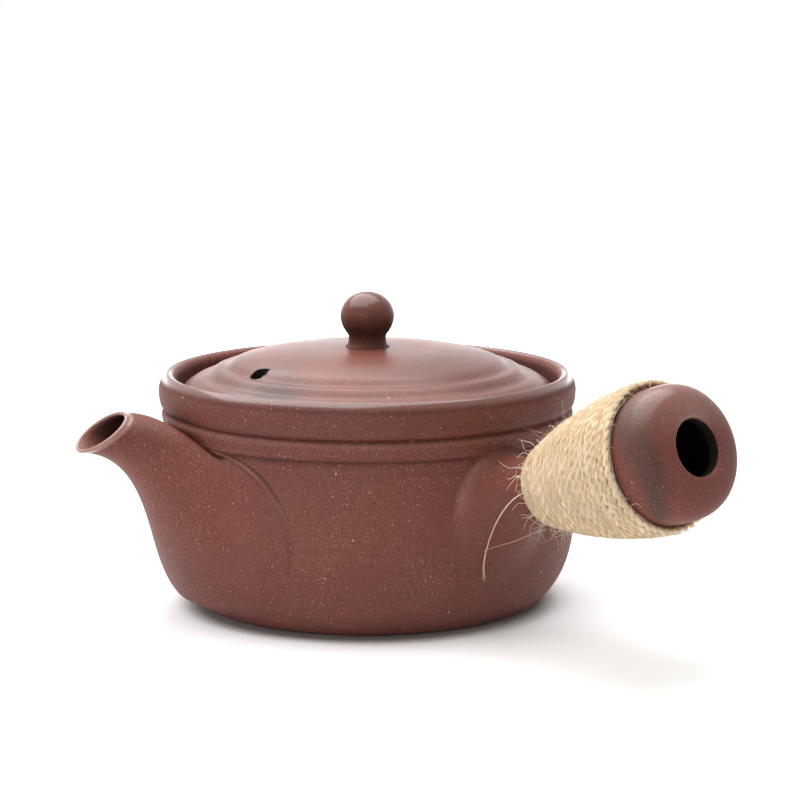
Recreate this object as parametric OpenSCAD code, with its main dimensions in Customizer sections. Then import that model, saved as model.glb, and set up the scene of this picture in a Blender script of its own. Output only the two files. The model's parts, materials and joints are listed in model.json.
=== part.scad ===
// Side-handle clay kettle: a thrown pot with a luted-on spout and hollow side handle,
// a lift-off lid with a ball knob, and a twine winding round the handle.
// The origin is on the pot's axis at its underside, +Z is up and the spout points along -X.

/* [Pot] */
// Radius of the flat underside
foot_r = 45.5; // [42:0.5:50]
// Radius of the belly at its widest line
belly_r = 61.7; // [57:0.1:68]
// Height of the belly's widest line above the underside
belly_h = 25; // [21:0.5:30]
// Height of the wall from the widest line up to the neck groove
wall_h = 27.5; // [24:0.5:40]
// How far the wall draws in between the widest line and the neck groove
wall_lean = 2.4; // [0.5:0.1:4]
// Height of the thrown band above the neck groove
band_h = 6.3; // [5:0.1:9]
// How far the band swells past a straight wall
band_swell = 1.1; // [0.4:0.1:2]
// Height of the collar from the band up to its widest line
collar_h = 5.5; // [4.5:0.1:8]
// How far the collar stands out past the neck groove
collar_out = 2.7; // [1.5:0.1:4]
// Depth of the groove between band and collar, seen from the collar
collar_groove = 1.6; // [0.6:0.1:2.4]
// Height of the rounded lip above the collar's widest line
lip_h = 5; // [4.5:0.1:8]
// Thickness of the rim across the collar
rim_t = 4.2; // [3.4:0.1:5.2]
// Place of the lip's crest across the rim, from inside, as a share of its thickness
lip_crest = 0.57; // [0.45:0.01:0.7]
// Height of the lip's inner curve
inner_lip_h = 2; // [1.4:0.1:3]
// Thickness of the pot's wall
wall_t = 4; // [3:0.1:5]
// Thickness of the pot's floor
floor_t = 4.5; // [3.5:0.1:7]

/* [Lid seat] */
// Depth of the seat ledge below the rim
seat_depth = 7.6; // [6.8:0.1:8.6]
// How far the gallery wall draws in on its way down to the seat
gallery_lean = 1.6; // [0.4:0.1:2]
// Width of the seat ledge
seat_w = 5.4; // [4.5:0.1:7]
// Thickness of the seat ledge at its inner edge
seat_t = 3; // [2.4:0.1:4]
// Size of the fillet at the seat's outer edge
seat_fillet = 0.6; // [0.3:0.1:0.8]
// Size of the chamfer at the throat's upper edge
throat_chamfer = 0.8; // [0.4:0.1:1.2]
// Play between the lid's edge and the gallery wall
lid_play = 0.9; // [0.5:0.1:1.3]
// Play between the lid's locating ring and the throat
throat_play = 0.9; // [0.5:0.1:1.4]
// Gap under the lid on its seat
seat_gap = 0.3; // [0.2:0.05:0.5]

/* [Lid] */
// Thickness of the lid's edge
lid_edge_t = 2.6; // [2.2:0.1:3.4]
// Radius of the lid's rounded upper edge
edge_round = 1; // [0.6:0.1:1.4]
// Size of the chamfer at the lid's lower edge
edge_chamfer = 0.5; // [0.3:0.1:0.7]
// Rise of the dome above the lid's edge
lid_rise = 11.8; // [8:0.1:16]
// Fullness of the dome, where 2 is a plain bowl and more is flatter on top
lid_full = 3.4; // [2.4:0.1:4]
// Thickness of the dome
lid_t = 3.4; // [2.6:0.1:4.2]
// Radius of the inner turned ring on the dome
ring_in_r = 42; // [36:0.5:43]
// Radius of the outer turned ring on the dome
ring_out_r = 47.6; // [46:0.1:50]
// Depth of the turned rings
ring_depth = 0.7; // [0.2:0.1:1]
// Half the width of the turned rings
ring_width = 1.9; // [1.5:0.1:3]
// Diameter of the vent hole
vent_d = 5.2; // [3:0.1:6]
// Distance of the vent hole from the lid's axis
vent_r = 39.8; // [24:0.2:41]
// Angle by which the lid's vent is turned past the spout
lid_turn = 12.3; // [0:0.1:40]
// Height of the locating ring below the seat
flange_h = 7; // [4:0.5:10]
// Thickness of the locating ring
flange_t = 3.2; // [2.5:0.1:4]
// Size of the chamfers at the locating ring's lower edge
flange_chamfer = 1; // [0.4:0.1:1.2]

/* [Knob] */
// Diameter of the ball knob
knob_d = 16; // [13:0.1:20]
// Height of the ball above its widest line
knob_top_h = 7; // [5:0.1:10]
// Depth that the ball would have below its widest line, if the neck didn't cut it off
knob_low_h = 8.1; // [6:0.1:10]
// Diameter of the knob's neck
knob_neck_d = 11; // [8:0.1:11.4]
// Diameter of the neck where it flares onto the lid
knob_foot_d = 12.4; // [11.5:0.1:16]
// Height of the ball's widest line above the top of the dome
knob_h = 9.4; // [8.8:0.05:12]
// Height of the neck's flare above the top of the dome
knob_flare_h = 2.2; // [1.5:0.1:4]

/* [Spout] */
// Half the angle that the spout's root takes up round the pot
root_half_angle = 41.5; // [34:0.5:46]
// Distance of the root's upper edge below the neck groove
root_top_drop = 0.4; // [0.2:0.1:4]
// Height of the root's lower edge above the underside
root_foot = 2; // [1.5:0.1:6]
// Height at which the root is widest
root_wide_h = 20; // [17:0.5:24]
// Squareness of the root's outline below its widest line, where 2 is an ellipse
root_square = 2.5; // [2:0.1:3]
// Squareness of the root's outline above its widest line
root_square_top = 3; // [2:0.1:3.6]
// Distance of the mouth's centre beyond the belly's widest line
mouth_reach = 22.6; // [18:0.1:34]
// Height of the mouth's centre above the neck groove
mouth_rise = 4.8; // [3:0.1:12]
// Slope of the cut mouth, down and outward
mouth_slope = 35; // [20:1:45]
// Diameter of the mouth's opening
mouth_d = 15.4; // [11:0.1:17]
// Thickness of the mouth's lip
lip_t = 1.2; // [1:0.1:2.6]
// Thickness of the spout's wall at its root
root_t = 3.2; // [2.6:0.1:4]
// Rise of the spout's axis where it reaches the mouth
mouth_aim = 5; // [0:1:20]

/* [Strainer] */
// Radius of the pouring hole through the pot's wall
pour_hole_r = 10.5; // [8:0.5:11]
// Height of the pouring hole above the belly's widest line
pour_up = 3; // [0:0.5:8]
// Width of the strainer's seat round the pouring hole
dome_seat = 3.5; // [2.5:0.1:5]
// How far the dome stands into the pot
dome_in = 9; // [7:0.5:11]
// Thickness of the strainer
dome_t = 2.6; // [2:0.1:3.2]
// Diameter of the straining holes
strain_d = 2.6; // [2:0.1:3]
// Spacing of the straining holes
strain_step = 4.2; // [3.8:0.1:4.6]

/* [Handle] */
// Angle round the pot from the spout to the handle
handle_turn = 103.25; // [80:0.25:120]
// Angle by which the handle rises from level
handle_tilt = 18.9; // [10:0.1:26]
// Distance below the neck groove at which the handle's axis leaves the wall
handle_drop = 12.5; // [10:0.1:18]
// Distance from the wall to the narrow end of the grip
grip_start = 18.1; // [16:0.1:26]
// Length of the grip that the twine covers
grip_len = 47; // [44:0.1:52]
// Radius of the clay at the narrow end of the grip
grip_r0 = 8.4; // [7.6:0.1:11]
// Radius of the clay at the wide end of the grip
grip_r1 = 18.5; // [16:0.1:22]
// Radius of the flared root where it meets the wall
handle_root_r = 16; // [13:0.1:18]
// Distance inside the belly's radius at which the root reaches its full flare
flare_sink = 4; // [2:0.5:8]
// Hollowness of the flare, where 1 is a plain cone
flare_power = 1.8; // [1.4:0.1:2.4]
// How far the grip swells past a straight taper
grip_swell = 2.4; // [0:0.1:2.6]
// Length of the rounded end beyond the twine
cap_len = 12.6; // [11:0.1:18]
// Squareness of the rounded end, where 2 is an ellipse
cap_square = 3.9; // [2.4:0.1:5]
// Radius of the hole in the handle's end
end_hole_r = 7.75; // [5:0.05:9]
// Length of the straight wall in that hole
end_hole_len = 3; // [2.5:0.1:4]
// Radius of the hole's rounded edge
end_lip = 1.2; // [0.8:0.1:1.6]
// Thickness of the handle's wall
handle_t = 3; // [2.4:0.1:3.6]

/* [Twine] */
// Diameter of the twine
twine_d = 2; // [1.4:0.05:2]
// Least advance of the winding along the handle in one turn
twine_pitch = 2.44; // [2.44:0.02:2.8]
// Gap between the twine and the clay
twine_gap = 0.08; // [0.05:0.01:0.2]
// Angle round the handle, from its underside, at which the winding starts and ends
twine_start = 105; // [0:5:355]

/* [Making] */
// Film of slip between pieces of clay that are luted together
lute = 0.12; // [0.08:0.01:0.2]

/* [Hidden] */
$fn = 180;
clay = "#7d4f46";
clay_dark = "#71463f";
clay_lid = "#8a5a50";
jute = "#ebd2a0";

// heights and radii up the pot
neck_r = belly_r - wall_lean;
neck_z = belly_h + wall_h;
groove_z = neck_z + band_h;
collar_r = neck_r + collar_out;
groove_r = collar_r - collar_groove;
collar_z = groove_z + collar_h;
rim_z = collar_z + lip_h;
lip_in = rim_t * lip_crest;
gallery_top_r = collar_r - rim_t;
seat_z = rim_z - seat_depth;
gallery_r = gallery_top_r - gallery_lean;
throat_r = gallery_r - seat_w;
throat_z = seat_z - seat_t;
ledge_z = throat_z - (neck_r - wall_t - throat_r);

// the lid, from its seat up
lid_r = gallery_r - lid_play;
lid_z = seat_z + seat_gap;
lid_edge_z = lid_z + lid_edge_t;
dome_top_z = lid_edge_z + lid_rise;
flange_r = throat_r - throat_play;
flange_in_r = flange_r - flange_t;
flange_z = lid_z - flange_h;
knob_z = dome_top_z + knob_h;

// the spout's mouth and root
mouth_z = neck_z + mouth_rise;
mouth_r = mouth_d / 2;
root_top = neck_z - root_top_drop;
columns = 64;
rail_steps = 18;
lip_steps = 4;
// at the spout's sides, top and bottom: tilt of its skin off the wall, and its curve's pull at each end
root_tilt = [27, 24, 32];
root_pull = [13, 2.3, 17];
mouth_pull = [26, 16, 28];
pour_z = belly_h + pour_up;
dome_foot_r = pour_hole_r + dome_seat;
dome_r = (dome_foot_r * dome_foot_r + dome_in * dome_in) / (2 * dome_in);

// the handle's stations along its own axis, counted from the pot's axis, with a start sunk in the wall
root_sink = 12;
handle_az = 180 + handle_turn;
wall_s = belly_r / cos(handle_tilt);
axis_z = neck_z - handle_drop - belly_r * tan(handle_tilt);
grip_s0 = wall_s + grip_start;
grip_s1 = grip_s0 + grip_len;
flare_s = wall_s - flare_sink;
root_s = wall_s - root_sink;

// the winding
twine_turns = floor((grip_len - twine_d) / twine_pitch);
twine_step = (grip_len - twine_d) / twine_turns;
loop_rings = 24;
twine_sides = 6;

function mix(a, b, t) = a + (b - a) * t;
function unit(v) = v / norm(v);
function signed_pow(x, p) = sign(x) * pow(abs(x), p);

// points of an ellipse's arc, from angle a0 to a1
function arc(cx, cz, rx, rz, a0, a1, n) =
    [for (i = [0:n]) let (a = mix(a0, a1, i / n)) [cx + rx * cos(a), cz + rz * sin(a)]];

// radius of the pot's outside, from the underside up to the neck groove
function wall_r(z) = z < belly_h
    ? foot_r + (belly_r - foot_r) * sqrt(1 - pow((belly_h - z) / belly_h, 2))
    : belly_r - wall_lean * pow((z - belly_h) / wall_h, 2);

// the pot's outside, from the underside's centre up to the lip's crest
function pot_outside(grow) = concat(
    [[0, -grow]],
    [for (a = [0:6:90]) [foot_r + grow + (belly_r - foot_r) * sin(a), belly_h * (1 - cos(a)) - grow]],
    [for (i = [1:8]) let (z = belly_h + wall_h * i / 8) [wall_r(z) + grow, z]],
    [for (i = [1:8]) let (t = i / 8)
        [mix(neck_r, groove_r, t) + band_swell * sin(180 * t) + grow, neck_z + band_h * t]],
    [for (i = [1:6]) let (a = 15 * i)
        [groove_r + collar_groove * sin(a) + grow, collar_z - collar_h * cos(a)]],
    [for (i = [1:8]) let (a = 90 * i / 8)
        [collar_r - (rim_t - lip_in) * (1 - cos(a)) + grow, collar_z + lip_h * sin(a)]]);

// the pot's inner wall, from the ledge under the seat down to the floor, drawn in by some film
function inner_wall(film) = concat(
    [for (i = [8:-1:1]) let (z = mix(belly_h, ledge_z, i / 8))
        [(z < neck_z ? wall_r(z) : neck_r) - wall_t - film, z]],
    arc(foot_r - wall_t - film, belly_h, belly_r - foot_r, belly_h - floor_t, 0, -90, 12));

// the pot's inside, from the lip's crest down to the floor's centre
function pot_inside() = concat(
    arc(gallery_top_r + lip_in, rim_z - inner_lip_h, lip_in, inner_lip_h, 105, 180, 5),
    [[gallery_r, seat_z + seat_fillet], [gallery_r - seat_fillet, seat_z]],
    [[throat_r + throat_chamfer, seat_z], [throat_r, seat_z - throat_chamfer], [throat_r, throat_z]],
    inner_wall(0),
    [[0, floor_t]]);

// the pouring hole's axis, along which the strainer sits
module at_pour_hole() {
    translate([0, 0, pour_z]) rotate([0, -90, 0]) children();
}

module pot_body() {
    color(clay)
    difference() {
        rotate_extrude() polygon(concat(pot_outside(0), pot_inside()));
        at_pour_hole() cylinder(r = pour_hole_r, h = belly_r + 1);
    }
}

// a value that runs from the spout's sides to its top and its bottom, at angle a round it
function around(v, a) = mix(v[0], sin(a) > 0 ? v[1] : v[2], pow(sin(a), 2));

// a point of the root's outline on the pot, as an angle and a height
function root_power(a) = 2 / (sin(a) > 0 ? root_square_top : root_square);
function root_angle(a) = root_half_angle * signed_pow(cos(a), root_power(a));
function root_height(a) = let (
    half = sin(a) > 0 ? root_top - root_wide_h : root_wide_h - root_foot)
    root_wide_h + half * signed_pow(sin(a), root_power(a));

// slope of the pot's outside, its outward normal, and a point a film of slip off it
function wall_slope(z) = (wall_r(z + 0.02) - wall_r(z - 0.02)) / 0.04;
function wall_normal(p, z) = unit([cos(p), sin(p), -wall_slope(z)]);
function on_wall(p, z) = [wall_r(z) * cos(p), wall_r(z) * sin(p), z] + lute * wall_normal(p, z);

// direction in which the spout's skin leaves the pot, tilted up from the wall
function root_lead(a) = let (
    p = root_angle(a),
    across = [-sin(p), cos(p), 0],
    normal = wall_normal(p, root_height(a)),
    up = cross(normal, across),
    tilt = around(root_tilt, a))
    sin(tilt) * normal - cos(tilt) * unit(cos(a) * across + sin(a) * up);

// a point of the mouth at radius r, on its sloping plane
mouth_centre = [belly_r + mouth_reach, 0, mouth_z];
mouth_out = [cos(mouth_slope), 0, -sin(mouth_slope)];
mouth_axis = [cos(mouth_aim), 0, sin(mouth_aim)];
mouth_normal = [sin(mouth_slope), 0, cos(mouth_slope)];
function mouth_point(a, r) = mouth_centre + r * cos(a) * [0, 1, 0] - r * sin(a) * mouth_out;

// the spout's outer skin: a cubic curve from the pot to the mouth at each angle round it
function skin(a, t) = let (
    p0 = on_wall(root_angle(a), root_height(a)),
    p1 = p0 + around(root_pull, a) * root_lead(a),
    p3 = mouth_point(a, mouth_r + lip_t),
    p2 = p3 - around(mouth_pull, a) * mouth_axis,
    s = 1 - t)
    s * s * s * p0 + 3 * s * s * t * p1 + 3 * s * t * t * p2 + t * t * t * p3;
function skin_normal(a, t) =
    unit(cross(skin(a + 1, t) - skin(a - 1, t), skin(a, t + 0.01) - skin(a, t - 0.01)));

// the inner skin: one wall's thickness in, never nearer to the pot than the film of slip
function to_mouth(t) = let (u = min(max((t - 0.5) / 0.5, 0), 1)) u * u * (3 - 2 * u);
function off_pot(p) = norm([p[0], p[1]]) < wall_r(p[2]) + lute ? on_wall(atan2(p[1], p[0]), p[2]) : p;
function inner_skin(a, t) = let (
    deep = -mix(root_t, lip_t, t) * skin_normal(a, t),
    at_lip = mouth_point(a, mouth_r) - mouth_point(a, mouth_r + lip_t))
    off_pot(skin(a, t) + mix(deep, at_lip, to_mouth(t)));

// the rings of the spout: up the outside, over the lip and back down the inside
function spout_angle(j) = -360 * j / columns;
spout_rows = concat(
    [for (i = [0:rail_steps]) [for (j = [0:columns - 1]) skin(spout_angle(j), i / rail_steps)]],
    [for (i = [1:lip_steps]) let (b = 180 * i / (lip_steps + 1)) [for (j = [0:columns - 1])
        mouth_point(spout_angle(j), mouth_r + lip_t / 2 * (1 + cos(b)))
        + lip_t / 2 * sin(b) * mouth_normal]],
    [for (i = [rail_steps:-1:0]) [for (j = [0:columns - 1]) inner_skin(spout_angle(j), i / rail_steps)]]);

// triangles of a grid of rings, joined round its columns and, when closed, round its rows
function grid_faces(rows, cols, closed) =
    [for (i = [0:rows - (closed ? 1 : 2)]) for (j = [0:cols - 1]) let (
        k = (i + 1) % rows,
        l = (j + 1) % cols)
        for (f = [[i * cols + j, i * cols + l, k * cols + l],
                  [i * cols + j, k * cols + l, k * cols + j]]) f];
function joined(rows) = [for (r = rows) for (p = r) p];

module spout() {
    color(clay)
    rotate([0, 0, 180])
    polyhedron(joined(spout_rows), grid_faces(len(spout_rows), columns, true), convexity = 6);
}

// places of the straining holes in a hexagon, two rings round the middle one
strain_places = [for (i = [-2:2]) for (j = [-2:2]) if (abs(i + j) <= 2)
    [strain_step * (i + j / 2), strain_step * j * sin(60)]];

module spout_strainer() {
    wall_in = wall_r(pour_z) - wall_t;
    color(clay_dark)
    intersection() {
        at_pour_hole() translate([0, 0, wall_in + dome_r - dome_in])
        difference() {
            sphere(dome_r);
            sphere(dome_r - dome_t);
            for (p = strain_places) {
                translate([p[0], p[1], -dome_r - 1]) cylinder(d = strain_d, h = dome_r + 1);
            }
        }
        rotate_extrude() polygon(concat([[0, ledge_z]], inner_wall(lute), [[0, floor_t]]));
    }
}

// the handle's own axis, along which its pieces are turned
module at_handle() {
    translate([0, 0, axis_z]) rotate([0, 0, handle_az]) rotate([0, 90 - handle_tilt, 0]) children();
}

// radius of the clay at station s: the grip under the twine, and the flare below it
function grip_r(s) = let (t = (s - grip_s0) / grip_len)
    mix(grip_r0, grip_r1, t) + 4 * grip_swell * t * (1 - t);
function flare_r(s) = grip_r0 + (handle_root_r - grip_r0)
    * pow((grip_s0 - s) / (grip_s0 - flare_s), flare_power);
function clay_r(s) = s < grip_s0 ? flare_r(s) : grip_r(s);
handle_stations = concat(
    [for (i = [0:11]) mix(root_s, grip_s0, i / 12)],
    [for (i = [0:12]) mix(grip_s0, grip_s1, i / 12)]);

// a rounded end of radius r and length h beyond the grip, as radius and station
function round_end(r, h, a1) = [for (i = [1:14]) let (a = a1 * i / 14)
    [r * pow(cos(a), 2 / cap_square), grip_s1 + h * pow(sin(a), 2 / cap_square)]];
function end_angle(r, stop) = acos(pow(stop / r, cap_square / 2));
function end_share(r, stop) = pow(1 - pow(stop / r, cap_square), 1 / cap_square);

// the hole in the end: its rounded edge, its straight wall, and the hollow's own end behind it
edge_s = grip_s1 + cap_len * end_share(grip_r1, end_hole_r + end_lip) - end_lip;
hole_s = edge_s - end_hole_len;
hollow_r = grip_r1 - handle_t;
hollow_len = (hole_s - grip_s1) / end_share(hollow_r, end_hole_r);

function handle_outside() = concat(
    [for (s = handle_stations) [clay_r(s), s]],
    round_end(grip_r1, cap_len, end_angle(grip_r1, end_hole_r + end_lip)),
    arc(end_hole_r + end_lip, edge_s, end_lip, end_lip, 105, 180, 4));
function handle_inside() = let (
    end = round_end(hollow_r, hollow_len, end_angle(hollow_r, end_hole_r)),
    n = len(handle_stations) - 1)
    concat(
        [for (i = [len(end) - 1:-1:0]) end[i]],
        [for (i = [n:-1:0]) let (s = handle_stations[i]) [clay_r(s) - handle_t, s]]);

module handle() {
    color(clay)
    difference() {
        at_handle() rotate_extrude() polygon(concat(handle_outside(), handle_inside()));
        rotate_extrude() polygon(concat(pot_outside(lute), [[0, rim_z]]));
    }
}

// the winding's centre line, a left-handed spiral that lies on the grip
function grip_lean(s) = atan((grip_r(s + 0.1) - grip_r(s - 0.1)) / 0.2);
function twine_at(n) = let (
    s = grip_s0 + twine_d / 2 + twine_step * n,
    a = twine_start - 360 * n,
    lift = twine_d / 2 + twine_gap,
    r = grip_r(s) + lift * cos(grip_lean(s)))
    [r * cos(a), r * sin(a), s - lift * sin(grip_lean(s))];
function twine_heading(n) = unit(twine_at(n + 0.002) - twine_at(n - 0.002));

// centre points of the rings: straight for one diameter at each end, turns between
twine_rings = twine_turns * loop_rings;
twine_line = concat(
    [twine_at(0) - twine_d * twine_heading(0)],
    [for (i = [0:twine_rings]) twine_at(twine_turns * i / twine_rings)],
    [twine_at(twine_turns) + twine_d * twine_heading(twine_turns)]);
twine_last = len(twine_line) - 1;
function line_heading(i) = unit(twine_line[min(i + 1, twine_last)] - twine_line[max(i - 1, 0)]);
twine_tube = [for (i = [0:twine_last]) let (
    h = line_heading(i),
    out = unit([twine_line[i][0], twine_line[i][1], 0]),
    side = unit(cross(h, out)),
    top = cross(side, h))
    [for (k = [0:twine_sides - 1]) let (a = 360 * k / twine_sides)
        twine_line[i] + twine_d / 2 * (cos(a) * side + sin(a) * top)]];

// least gap between a turn and the next one
twine_least_gap = min([for (i = [0:twine_last - loop_rings]) for (k = [-3:3])
    let (j = i + loop_rings + k) if (j <= twine_last) norm(twine_line[j] - twine_line[i])]) - twine_d;
echo(twine_turns = twine_turns, twine_least_gap = twine_least_gap);

module twine_wrap() {
    last = twine_sides * (len(twine_tube) - 1);
    color(jute)
    at_handle()
    polyhedron(joined(twine_tube), concat(
        grid_faces(len(twine_tube), twine_sides, false),
        [for (k = [1:twine_sides - 2]) [0, k + 1, k]],
        [for (k = [1:twine_sides - 2]) [last, last + k, last + k + 1]]),
        convexity = 10);
}

// height of the dome's outside at radius r, with its two soft turned rings
function dome_z(r) = lid_edge_z + lid_rise * (1 - pow(r / lid_r, lid_full));
function ring_dip(r, at) = ring_depth * exp(-pow((r - at) / ring_width, 2));
function lid_top(r) = dome_z(r) - ring_dip(r, ring_in_r) - ring_dip(r, ring_out_r);
function lid_under(r) = max(lid_z, dome_z(r) - lid_t);

module lid_dome() {
    color(clay_lid)
    difference() {
        rotate_extrude() polygon(concat(
            [for (i = [0:40]) let (r = (lid_r - edge_round) * i / 40) [r, lid_top(r)]],
            arc(lid_r - edge_round, lid_edge_z - edge_round, edge_round, edge_round, 60, 0, 3),
            [[lid_r, lid_z + edge_chamfer], [lid_r - edge_chamfer, lid_z]],
            [for (i = [24:-1:0]) let (r = (lid_r - edge_round) * i / 24) [r, lid_under(r)]]));
        rotate([0, 0, 180 + lid_turn]) translate([vent_r, 0, lid_z])
        cylinder(d = vent_d, h = lid_rise + lid_edge_t);
    }
}

module lid_flange() {
    color(clay_lid)
    rotate_extrude() polygon(concat(
        [for (i = [0:4]) let (r = mix(flange_in_r, flange_r, i / 4)) [r, lid_under(r) - lute]],
        [[flange_r, flange_z + flange_chamfer], [flange_r - flange_chamfer, flange_z]],
        [[flange_in_r + flange_chamfer, flange_z], [flange_in_r, flange_z + flange_chamfer]]));
}

module lid_knob() {
    foot_z = lid_top(0) + lute;
    low_angle = acos(knob_neck_d / knob_d);
    color(clay_lid)
    rotate_extrude() polygon(concat(
        [[0, foot_z]],
        [for (a = [0:15:90]) [knob_foot_d / 2 - (knob_foot_d - knob_neck_d) / 2 * sin(a),
            foot_z + knob_flare_h * (1 - cos(a))]],
        [for (i = [0:8]) let (a = -low_angle * (1 - i / 8)) [knob_d / 2 * cos(a),
            knob_z + knob_low_h * sin(a)]],
        [for (a = [6:6:90]) [knob_d / 2 * cos(a), knob_z + knob_top_h * sin(a)]]));
}

pot_body();
spout();
spout_strainer();
handle();
twine_wrap();
lid_dome();
lid_flange();
lid_knob();
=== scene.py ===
"""Looks of the side-handle clay kettle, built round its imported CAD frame, in metres."""

import json
import math

import bpy
import numpy as np
from mathutils import Matrix, Vector


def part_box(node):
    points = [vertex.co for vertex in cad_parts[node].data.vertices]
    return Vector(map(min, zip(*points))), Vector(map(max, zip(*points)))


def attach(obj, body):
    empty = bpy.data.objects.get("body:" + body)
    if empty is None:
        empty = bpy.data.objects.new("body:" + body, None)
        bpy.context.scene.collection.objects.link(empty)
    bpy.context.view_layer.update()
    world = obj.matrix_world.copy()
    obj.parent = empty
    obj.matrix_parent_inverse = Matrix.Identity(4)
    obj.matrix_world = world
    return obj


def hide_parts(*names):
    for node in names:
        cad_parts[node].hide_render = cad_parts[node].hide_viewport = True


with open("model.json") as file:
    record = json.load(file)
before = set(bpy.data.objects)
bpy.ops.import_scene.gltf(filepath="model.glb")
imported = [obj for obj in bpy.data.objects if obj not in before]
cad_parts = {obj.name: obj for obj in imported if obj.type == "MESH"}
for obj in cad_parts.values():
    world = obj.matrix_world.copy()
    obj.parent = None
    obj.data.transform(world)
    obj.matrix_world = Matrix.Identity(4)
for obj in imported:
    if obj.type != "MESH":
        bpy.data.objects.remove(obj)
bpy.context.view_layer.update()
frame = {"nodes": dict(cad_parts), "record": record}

# Pot body: thrown on the wheel from purple-brown stoneware clay, with a flat foot, a full belly, a band
# and a collar over the neck groove, and a ledge sunk inside the rim for the lid. It is fired bare,
# without a glaze, so its sand, its throwing rings and its dry sheen all show.
MM = 0.001
COLLAR_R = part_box("pot_body")[1].x
RIM_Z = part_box("pot_body")[1].z
FOOT_R, BELLY_R, BELLY_H = 45.5 * MM, 61.7 * MM, 25 * MM
NECK_R, NECK_Z = 59.3 * MM, 52.5 * MM
GROOVE_R, GROOVE_Z = 60.4 * MM, 58.8 * MM
GROOVE_CUT, GROOVE_HALF, COLLAR_Z = 0.6 * MM, 0.7 * MM, 64.3 * MM
BAND_STEP, BAND_EDGE_H, BAND_SWELL, BAND_CREST = 1.1 * MM, 0.3 * MM, 0.8 * MM, 2.0
CREST_R, LIP_BEVEL, GALLERY_TOP_R, INNER_LIP_H = 59.3 * MM, 1.25, 56.8 * MM, 2.2 * MM
SEAT_R, SEAT_Z = 56.2 * MM, 61.7 * MM
THROAT_R, THROAT_Z, LEDGE_Z = 50.8 * MM, 58.7 * MM, 54.2 * MM
WALL_T, FLOOR_T = 4 * MM, 4.5 * MM
POUR_HOLE_R, POUR_HOLE_Z = 10.5 * MM, 28 * MM
MIDDLE_R = 3 * MM


def softened(points, step, wear):
    """A line's points again, at even steps along it, with its corners worn round over that length."""
    points = np.asarray(points, float)
    along = np.r_[0, np.cumsum(np.linalg.norm(np.diff(points, axis=0), axis=1))]
    even = np.linspace(0, along[-1], round(along[-1] / step) + 1)
    line = np.stack([np.interp(even, along, column) for column in points.T], 1)
    reach = math.ceil(3 * wear / step)
    weight = np.exp(-0.5 * (np.arange(-reach, reach + 1) * step / wear) ** 2)
    padded = np.concatenate([np.repeat(line[:1], reach, 0), line, np.repeat(line[-1:], reach, 0)])
    worn = np.stack([np.convolve(column, weight / weight.sum(), "valid") for column in padded.T], 1)
    worn[0], worn[-1] = line[0], line[-1]
    return worn


turn = np.linspace(0, math.pi / 2, 31)
rise = np.linspace(0, 1, 31)
belly = np.concatenate([
    [[MIDDLE_R, 0], [FOOT_R - 0.4 * MM, 0]],
    np.stack([FOOT_R + (BELLY_R - FOOT_R) * np.sin(turn), BELLY_H * (1 - np.cos(turn))], 1),
    np.stack([BELLY_R + (NECK_R - BELLY_R) * rise**2, BELLY_H + (NECK_Z - BELLY_H) * rise], 1)[1:],
])


def fading(distance, reach):
    """The share of a mark or a groove that is left at a distance from its middle."""
    return np.exp(-((distance / reach) ** 2))


# the band steps out of the neck with a sharp lower edge and is fullest near its top, and a groove is cut
# between it and the collar
groove = GROOVE_CUT * fading((1 - rise) * (GROOVE_Z - NECK_Z), GROOVE_HALF)
band_r = NECK_R + BAND_STEP + (GROOVE_R - NECK_R - BAND_STEP) * rise - groove
band_r += BAND_SWELL * np.sin(math.pi * rise**BAND_CREST)
band_z = NECK_Z + BAND_EDGE_H + (GROOVE_Z - NECK_Z - BAND_EDGE_H) * rise
collar_rise = (1 - np.cos(turn)) * (COLLAR_Z - GROOVE_Z)
collar_r = GROOVE_R + (COLLAR_R - GROOVE_R) * np.sin(turn) - GROOVE_CUT * fading(collar_rise, GROOVE_HALF)
upper = np.concatenate([
    [[NECK_R, NECK_Z]],
    np.stack([band_r, band_z], 1),
    np.stack([collar_r, GROOVE_Z + collar_rise], 1)[1:],
    np.stack([CREST_R + (COLLAR_R - CREST_R) * np.clip(np.cos(turn), 0, 1) ** LIP_BEVEL,
              COLLAR_Z + (RIM_Z - COLLAR_Z) * np.sin(turn) ** LIP_BEVEL], 1)[1:],
])
inside = np.concatenate([
    np.stack([CREST_R - (CREST_R - GALLERY_TOP_R) * np.sin(turn),
              RIM_Z - INNER_LIP_H * (1 - np.cos(turn))], 1)[1:],
    [[SEAT_R, SEAT_Z], [THROAT_R, SEAT_Z], [THROAT_R, THROAT_Z], [NECK_R - WALL_T, LEDGE_Z]],
    np.stack([NECK_R - WALL_T + (BELLY_R - NECK_R) * (1 - (1 - rise) ** 2),
              LEDGE_Z + (BELLY_H - LEDGE_Z) * rise], 1)[1:],
    np.stack([FOOT_R - WALL_T + (BELLY_R - FOOT_R) * np.cos(turn),
              BELLY_H - (BELLY_H - FLOOR_T) * np.sin(turn)], 1)[1:],
    [[MIDDLE_R, FLOOR_T]],
])
pot_side = np.concatenate([softened(belly, 1.0 * MM, 0.42 * MM), softened(upper, 0.3 * MM, 0.2 * MM)[1:]])
pot_profile = np.concatenate([pot_side, softened(inside, 0.9 * MM, 0.5 * MM)])


def turned(profile, columns):
    """Rings of points: a profile of (radius, height) turned round the Z axis."""
    angles = np.linspace(0, 2 * math.pi, columns, endpoint=False)
    r, z = profile[:, :1], profile[:, 1:]
    return np.stack([r * np.cos(angles), r * np.sin(angles), np.repeat(z, columns, 1)], -1)


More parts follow.
